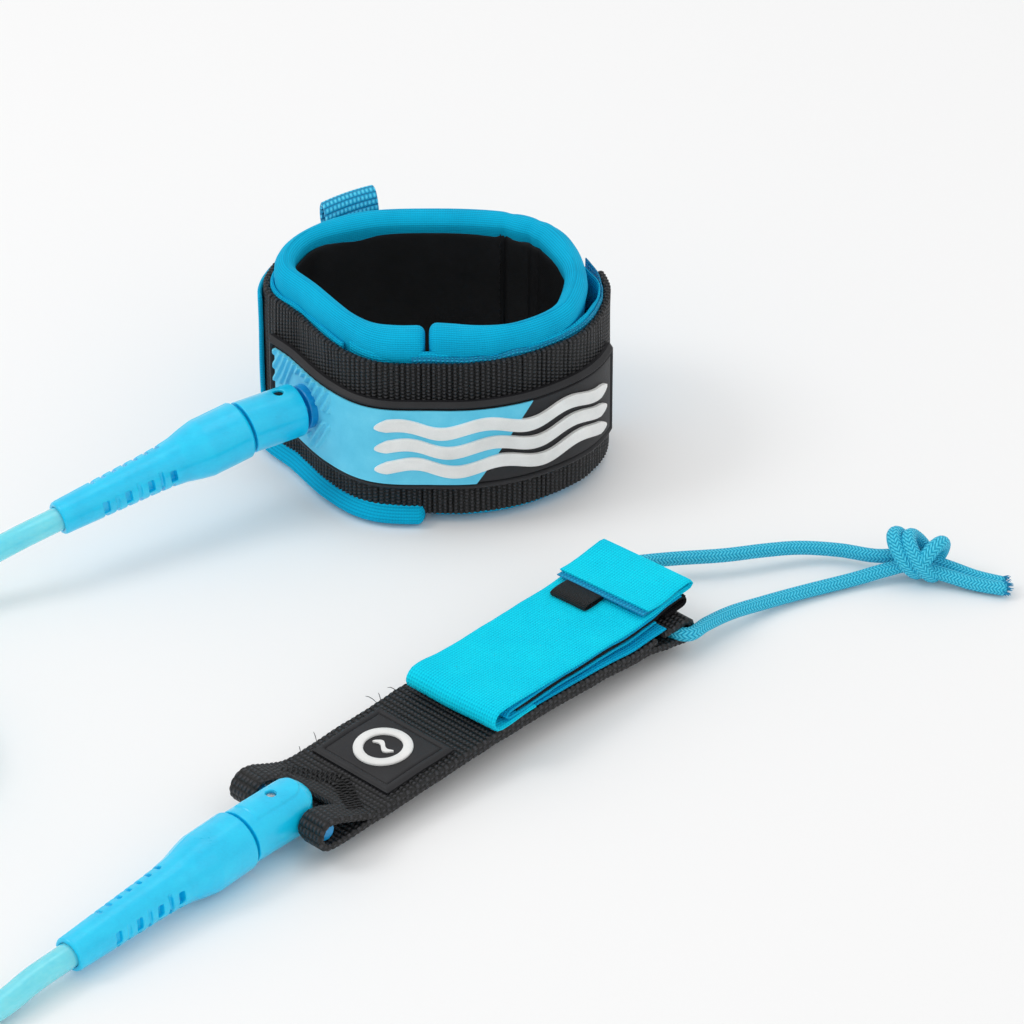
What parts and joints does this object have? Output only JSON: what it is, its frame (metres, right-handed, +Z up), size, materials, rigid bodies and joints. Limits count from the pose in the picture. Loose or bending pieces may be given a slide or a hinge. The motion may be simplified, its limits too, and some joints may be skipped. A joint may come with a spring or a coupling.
{
  "type": "surfboard leash",
  "caption": "Ankle leash for a surfboard or bodyboard: padded cuff, urethane cord with a swivel at each end, folding rail saver and pull string.",
  "frame": {"origin": "on the resting surface, under the middle of the box around the cuff, swivels and rail saver, without the cord, coil and string", "axes": "+Z up from the resting surface; +Y from the rail saver's swivel towards the cuff; +X towards the string's end"},
  "size_m": [0.3791, 0.3384, 0.066],
  "materials": {
    "neoprene": "ribbed stretch fabric over foam",
    "lining": "smooth black neoprene skin",
    "webbing": "woven nylon webbing",
    "loop_tape": "brushed loop tape",
    "hook_tape": "hook tape",
    "patch_rubber": "satin soft rubber",
    "patch_inlay": "satin soft rubber",
    "emblem": "satin soft rubber",
    "swivel_plastic": "moulded plastic, satin gloss",
    "boss_plastic": "moulded plastic",
    "steel": "polished stainless steel",
    "dark_steel": "blackened steel",
    "cord": "clear tinted urethane",
    "string": "braided polyester",
    "tag": "satin woven label"
  },
  "bodies": {
    "leash": {"cord_cuff_side": "cord", "cord_rail_side": "cord", "cord_coil": "cord", "coil_tie": "tag", "cuff_collar": "swivel_plastic", "cuff_pin": "dark_steel", "cuff_swivel_stud": "steel", "swivel_washers": "steel", "rail_collar": "swivel_plastic", "rail_pin": "steel", "rail_swivel_stud": "steel", "cross_bar": "swivel_plastic"},
    "cuff_horn": {"cuff_horn": "swivel_plastic"},
    "rail_horn": {"rail_horn": "swivel_plastic"},
    "cuff": {"cuff_pad": "neoprene", "cuff_lining": "lining", "cuff_loop_tape": "loop_tape", "cuff_hook_tape": "hook_tape", "cuff_backing_tape": "loop_tape", "cuff_webbing": "webbing", "cuff_patch": "patch_rubber", "cuff_patch_inlay": "patch_inlay", "cuff_emblem": "emblem", "cuff_boss": "boss_plastic"},
    "cuff_closure": {"cuff_strap": "loop_tape", "pull_tab": "loop_tape"},
    "rail_saver": {"rail_webbing": "webbing", "rail_bartacks": "webbing", "rail_patch": "patch_rubber", "rail_emblem": "emblem", "rail_loop_tape": "loop_tape", "string_front": "string", "string_back": "string", "string_knot": "string"},
    "flap": {"flap_inner": "hook_tape", "flap_backing": "webbing", "flap_outer": "loop_tape", "side_tag": "tag"},
    "flap_return": {"flap_return": "loop_tape"}
  },
  "joints": [
    {"name": "cuff_horn_spin", "type": "hinge", "parent": "leash", "child": "cuff_horn", "pos_m": [-0.03678, 0.0706, 0.028], "axis": [-0.821, -0.5538, -0.1392], "continuous": true},
    {"name": "rail_horn_spin", "type": "hinge", "parent": "leash", "child": "rail_horn", "pos_m": [-0.0315, -0.0995, 0.0095], "axis": [-0.6745, -0.7361, -0.0558], "continuous": true},
    {"name": "cuff_turn", "type": "hinge", "parent": "leash", "child": "cuff", "pos_m": [-0.027, 0.0772, 0.028], "axis": [0, 0, 1], "range_deg": [-10, 10]},
    {"name": "closure_peel", "type": "hinge", "parent": "cuff", "child": "cuff_closure", "pos_m": [-0.03259, 0.10583, 0.0275], "axis": [0, 0, 1], "range_deg": [0, 75]},
    {"name": "saver_lift", "type": "hinge", "parent": "leash", "child": "rail_saver", "pos_m": [-0.01968, -0.0866, 0.0095], "axis": [0.7193, -0.6947, 0], "range_deg": [0, 90]},
    {"name": "flap_open", "type": "hinge", "parent": "rail_saver", "child": "flap", "pos_m": [0.07395, 0.01362, 0.0135], "axis": [-0.7604, 0.6494, 0], "range_deg": [0, 80]},
    {"name": "return_open", "type": "hinge", "parent": "flap", "child": "flap_return", "pos_m": [0.0759, 0.0159, 0.01855], "axis": [-0.7604, 0.6494, 0], "range_deg": [0, 90]}
  ]
}
